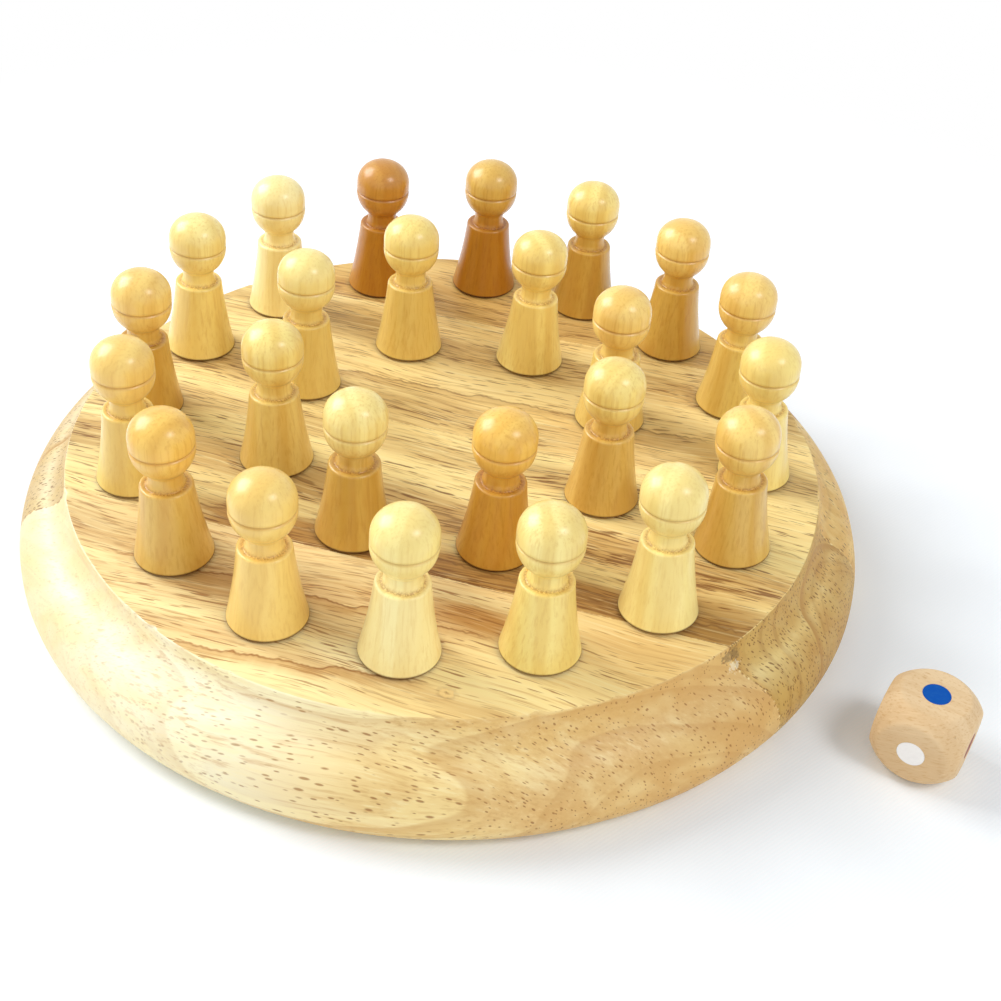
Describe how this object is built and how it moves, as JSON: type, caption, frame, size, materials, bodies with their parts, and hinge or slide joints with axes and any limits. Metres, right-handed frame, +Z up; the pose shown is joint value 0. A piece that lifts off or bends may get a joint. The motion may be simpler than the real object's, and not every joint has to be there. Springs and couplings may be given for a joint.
{
  "type": "colour memory peg game",
  "caption": "Round wooden game board with rings of blind holes, turned wooden pegs that hide coloured marks under them, and a rounded colour die.",
  "frame": {"origin": "centre of the board's underside, which rests on the table", "axes": "+Z up out of the board's top face, -Y towards the player, +X to the player's right, where the die lies"},
  "size_m": [0.2371, 0.22, 0.068],
  "materials": {
    "board_wood": "satin, planed rubberwood with brown pore streaks",
    "peg_wood_pale": "clear gloss lacquer on pale close-grained wood",
    "peg_wood_golden": "clear gloss lacquer on golden close-grained wood",
    "peg_wood_honey": "clear gloss lacquer on honey-coloured wood",
    "peg_wood_brown": "clear gloss lacquer on brown heartwood",
    "die_wood": "bare sanded close-grained wood",
    "paint_blue": "flat opaque paint",
    "paint_white": "flat opaque paint",
    "paint_red": "flat opaque paint",
    "paint_yellow": "flat opaque paint",
    "paint_green": "flat opaque paint",
    "paint_black": "flat opaque paint"
  },
  "bodies": {
    "board": {"stave_1": "board_wood", "stave_2": "board_wood", "stave_3": "board_wood", "stave_4": "board_wood"},
    "peg_01": {"peg_01": "peg_wood_pale", "mark_01": "paint_blue"},
    "peg_02": {"peg_02": "peg_wood_golden", "mark_02": "paint_black"},
    "peg_03": {"peg_03": "peg_wood_pale", "mark_03": "paint_green"},
    "peg_04": {"peg_04": "peg_wood_golden", "mark_04": "paint_yellow"},
    "peg_05": {"peg_05": "peg_wood_pale", "mark_05": "paint_red"},
    "peg_06": {"peg_06": "peg_wood_golden", "mark_06": "paint_white"},
    "peg_07": {"peg_07": "peg_wood_honey", "mark_07": "paint_white"},
    "peg_08": {"peg_08": "peg_wood_honey", "mark_08": "paint_blue"},
    "peg_09": {"peg_09": "peg_wood_brown", "mark_09": "paint_black"},
    "peg_10": {"peg_10": "peg_wood_brown", "mark_10": "paint_green"},
    "peg_11": {"peg_11": "peg_wood_pale", "mark_11": "paint_yellow"},
    "peg_12": {"peg_12": "peg_wood_golden", "mark_12": "paint_red"},
    "peg_13": {"peg_13": "peg_wood_golden", "mark_13": "paint_red"},
    "peg_14": {"peg_14": "peg_wood_pale", "mark_14": "paint_white"},
    "peg_15": {"peg_15": "peg_wood_golden", "mark_15": "paint_blue"},
    "peg_16": {"peg_16": "peg_wood_pale", "mark_16": "paint_black"},
    "peg_17": {"peg_17": "peg_wood_honey", "mark_17": "paint_green"},
    "peg_18": {"peg_18": "peg_wood_golden", "mark_18": "paint_yellow"},
    "peg_19": {"peg_19": "peg_wood_golden", "mark_19": "paint_yellow"},
    "peg_20": {"peg_20": "peg_wood_golden", "mark_20": "paint_red"},
    "peg_21": {"peg_21": "peg_wood_golden", "mark_21": "paint_white"},
    "peg_22": {"peg_22": "peg_wood_pale", "mark_22": "paint_blue"},
    "peg_23": {"peg_23": "peg_wood_golden", "mark_23": "paint_black"},
    "peg_24": {"peg_24": "peg_wood_golden", "mark_24": "paint_green"},
    "die": {"die": "die_wood", "spot_blue": "paint_blue", "spot_white": "paint_white", "spot_red": "paint_red", "spot_yellow": "paint_yellow", "spot_green": "paint_green", "spot_black": "paint_black"}
  },
  "joints": [
    {"name": "peg_01_lift", "type": "slide", "parent": "board", "child": "peg_01", "axis": [0, 0, 1], "range_m": [0, 0.06]},
    {"name": "peg_02_lift", "type": "slide", "parent": "board", "child": "peg_02", "axis": [0, 0, 1], "range_m": [0, 0.06]},
    {"name": "peg_03_lift", "type": "slide", "parent": "board", "child": "peg_03", "axis": [0, 0, 1], "range_m": [0, 0.06]},
    {"name": "peg_04_lift", "type": "slide", "parent": "board", "child": "peg_04", "axis": [0, 0, 1], "range_m": [0, 0.06]},
    {"name": "peg_05_lift", "type": "slide", "parent": "board", "child": "peg_05", "axis": [0, 0, 1], "range_m": [0, 0.06]},
    {"name": "peg_06_lift", "type": "slide", "parent": "board", "child": "peg_06", "axis": [0, 0, 1], "range_m": [0, 0.06]},
    {"name": "peg_07_lift", "type": "slide", "parent": "board", "child": "peg_07", "axis": [0, 0, 1], "range_m": [0, 0.06]},
    {"name": "peg_08_lift", "type": "slide", "parent": "board", "child": "peg_08", "axis": [0, 0, 1], "range_m": [0, 0.06]},
    {"name": "peg_09_lift", "type": "slide", "parent": "board", "child": "peg_09", "axis": [0, 0, 1], "range_m": [0, 0.06]},
    {"name": "peg_10_lift", "type": "slide", "parent": "board", "child": "peg_10", "axis": [0, 0, 1], "range_m": [0, 0.06]},
    {"name": "peg_11_lift", "type": "slide", "parent": "board", "child": "peg_11", "axis": [0, 0, 1], "range_m": [0, 0.06]},
    {"name": "peg_12_lift", "type": "slide", "parent": "board", "child": "peg_12", "axis": [0, 0, 1], "range_m": [0, 0.06]},
    {"name": "peg_13_lift", "type": "slide", "parent": "board", "child": "peg_13", "axis": [0, 0, 1], "range_m": [0, 0.06]},
    {"name": "peg_14_lift", "type": "slide", "parent": "board", "child": "peg_14", "axis": [0, 0, 1], "range_m": [0, 0.06]},
    {"name": "peg_15_lift", "type": "slide", "parent": "board", "child": "peg_15", "axis": [0, 0, 1], "range_m": [0, 0.06]},
    {"name": "peg_16_lift", "type": "slide", "parent": "board", "child": "peg_16", "axis": [0, 0, 1], "range_m": [0, 0.06]},
    {"name": "peg_17_lift", "type": "slide", "parent": "board", "child": "peg_17", "axis": [0, 0, 1], "range_m": [0, 0.06]},
    {"name": "peg_18_lift", "type": "slide", "parent": "board", "child": "peg_18", "axis": [0, 0, 1], "range_m": [0, 0.06]},
    {"name": "peg_19_lift", "type": "slide", "parent": "board", "child": "peg_19", "axis": [0, 0, 1], "range_m": [0, 0.06]},
    {"name": "peg_20_lift", "type": "slide", "parent": "board", "child": "peg_20", "axis": [0, 0, 1], "range_m": [0, 0.06]},
    {"name": "peg_21_lift", "type": "slide", "parent": "board", "child": "peg_21", "axis": [0, 0, 1], "range_m": [0, 0.06]},
    {"name": "peg_22_lift", "type": "slide", "parent": "board", "child": "peg_22", "axis": [0, 0, 1], "range_m": [0, 0.06]},
    {"name": "peg_23_lift", "type": "slide", "parent": "board", "child": "peg_23", "axis": [0, 0, 1], "range_m": [0, 0.06]},
    {"name": "peg_24_lift", "type": "slide", "parent": "board", "child": "peg_24", "axis": [0, 0, 1], "range_m": [0, 0.06]},
    {"name": "die_lift", "type": "slide", "parent": "board", "child": "die", "axis": [0, 0, 1], "range_m": [0, 0.06]}
  ]
}
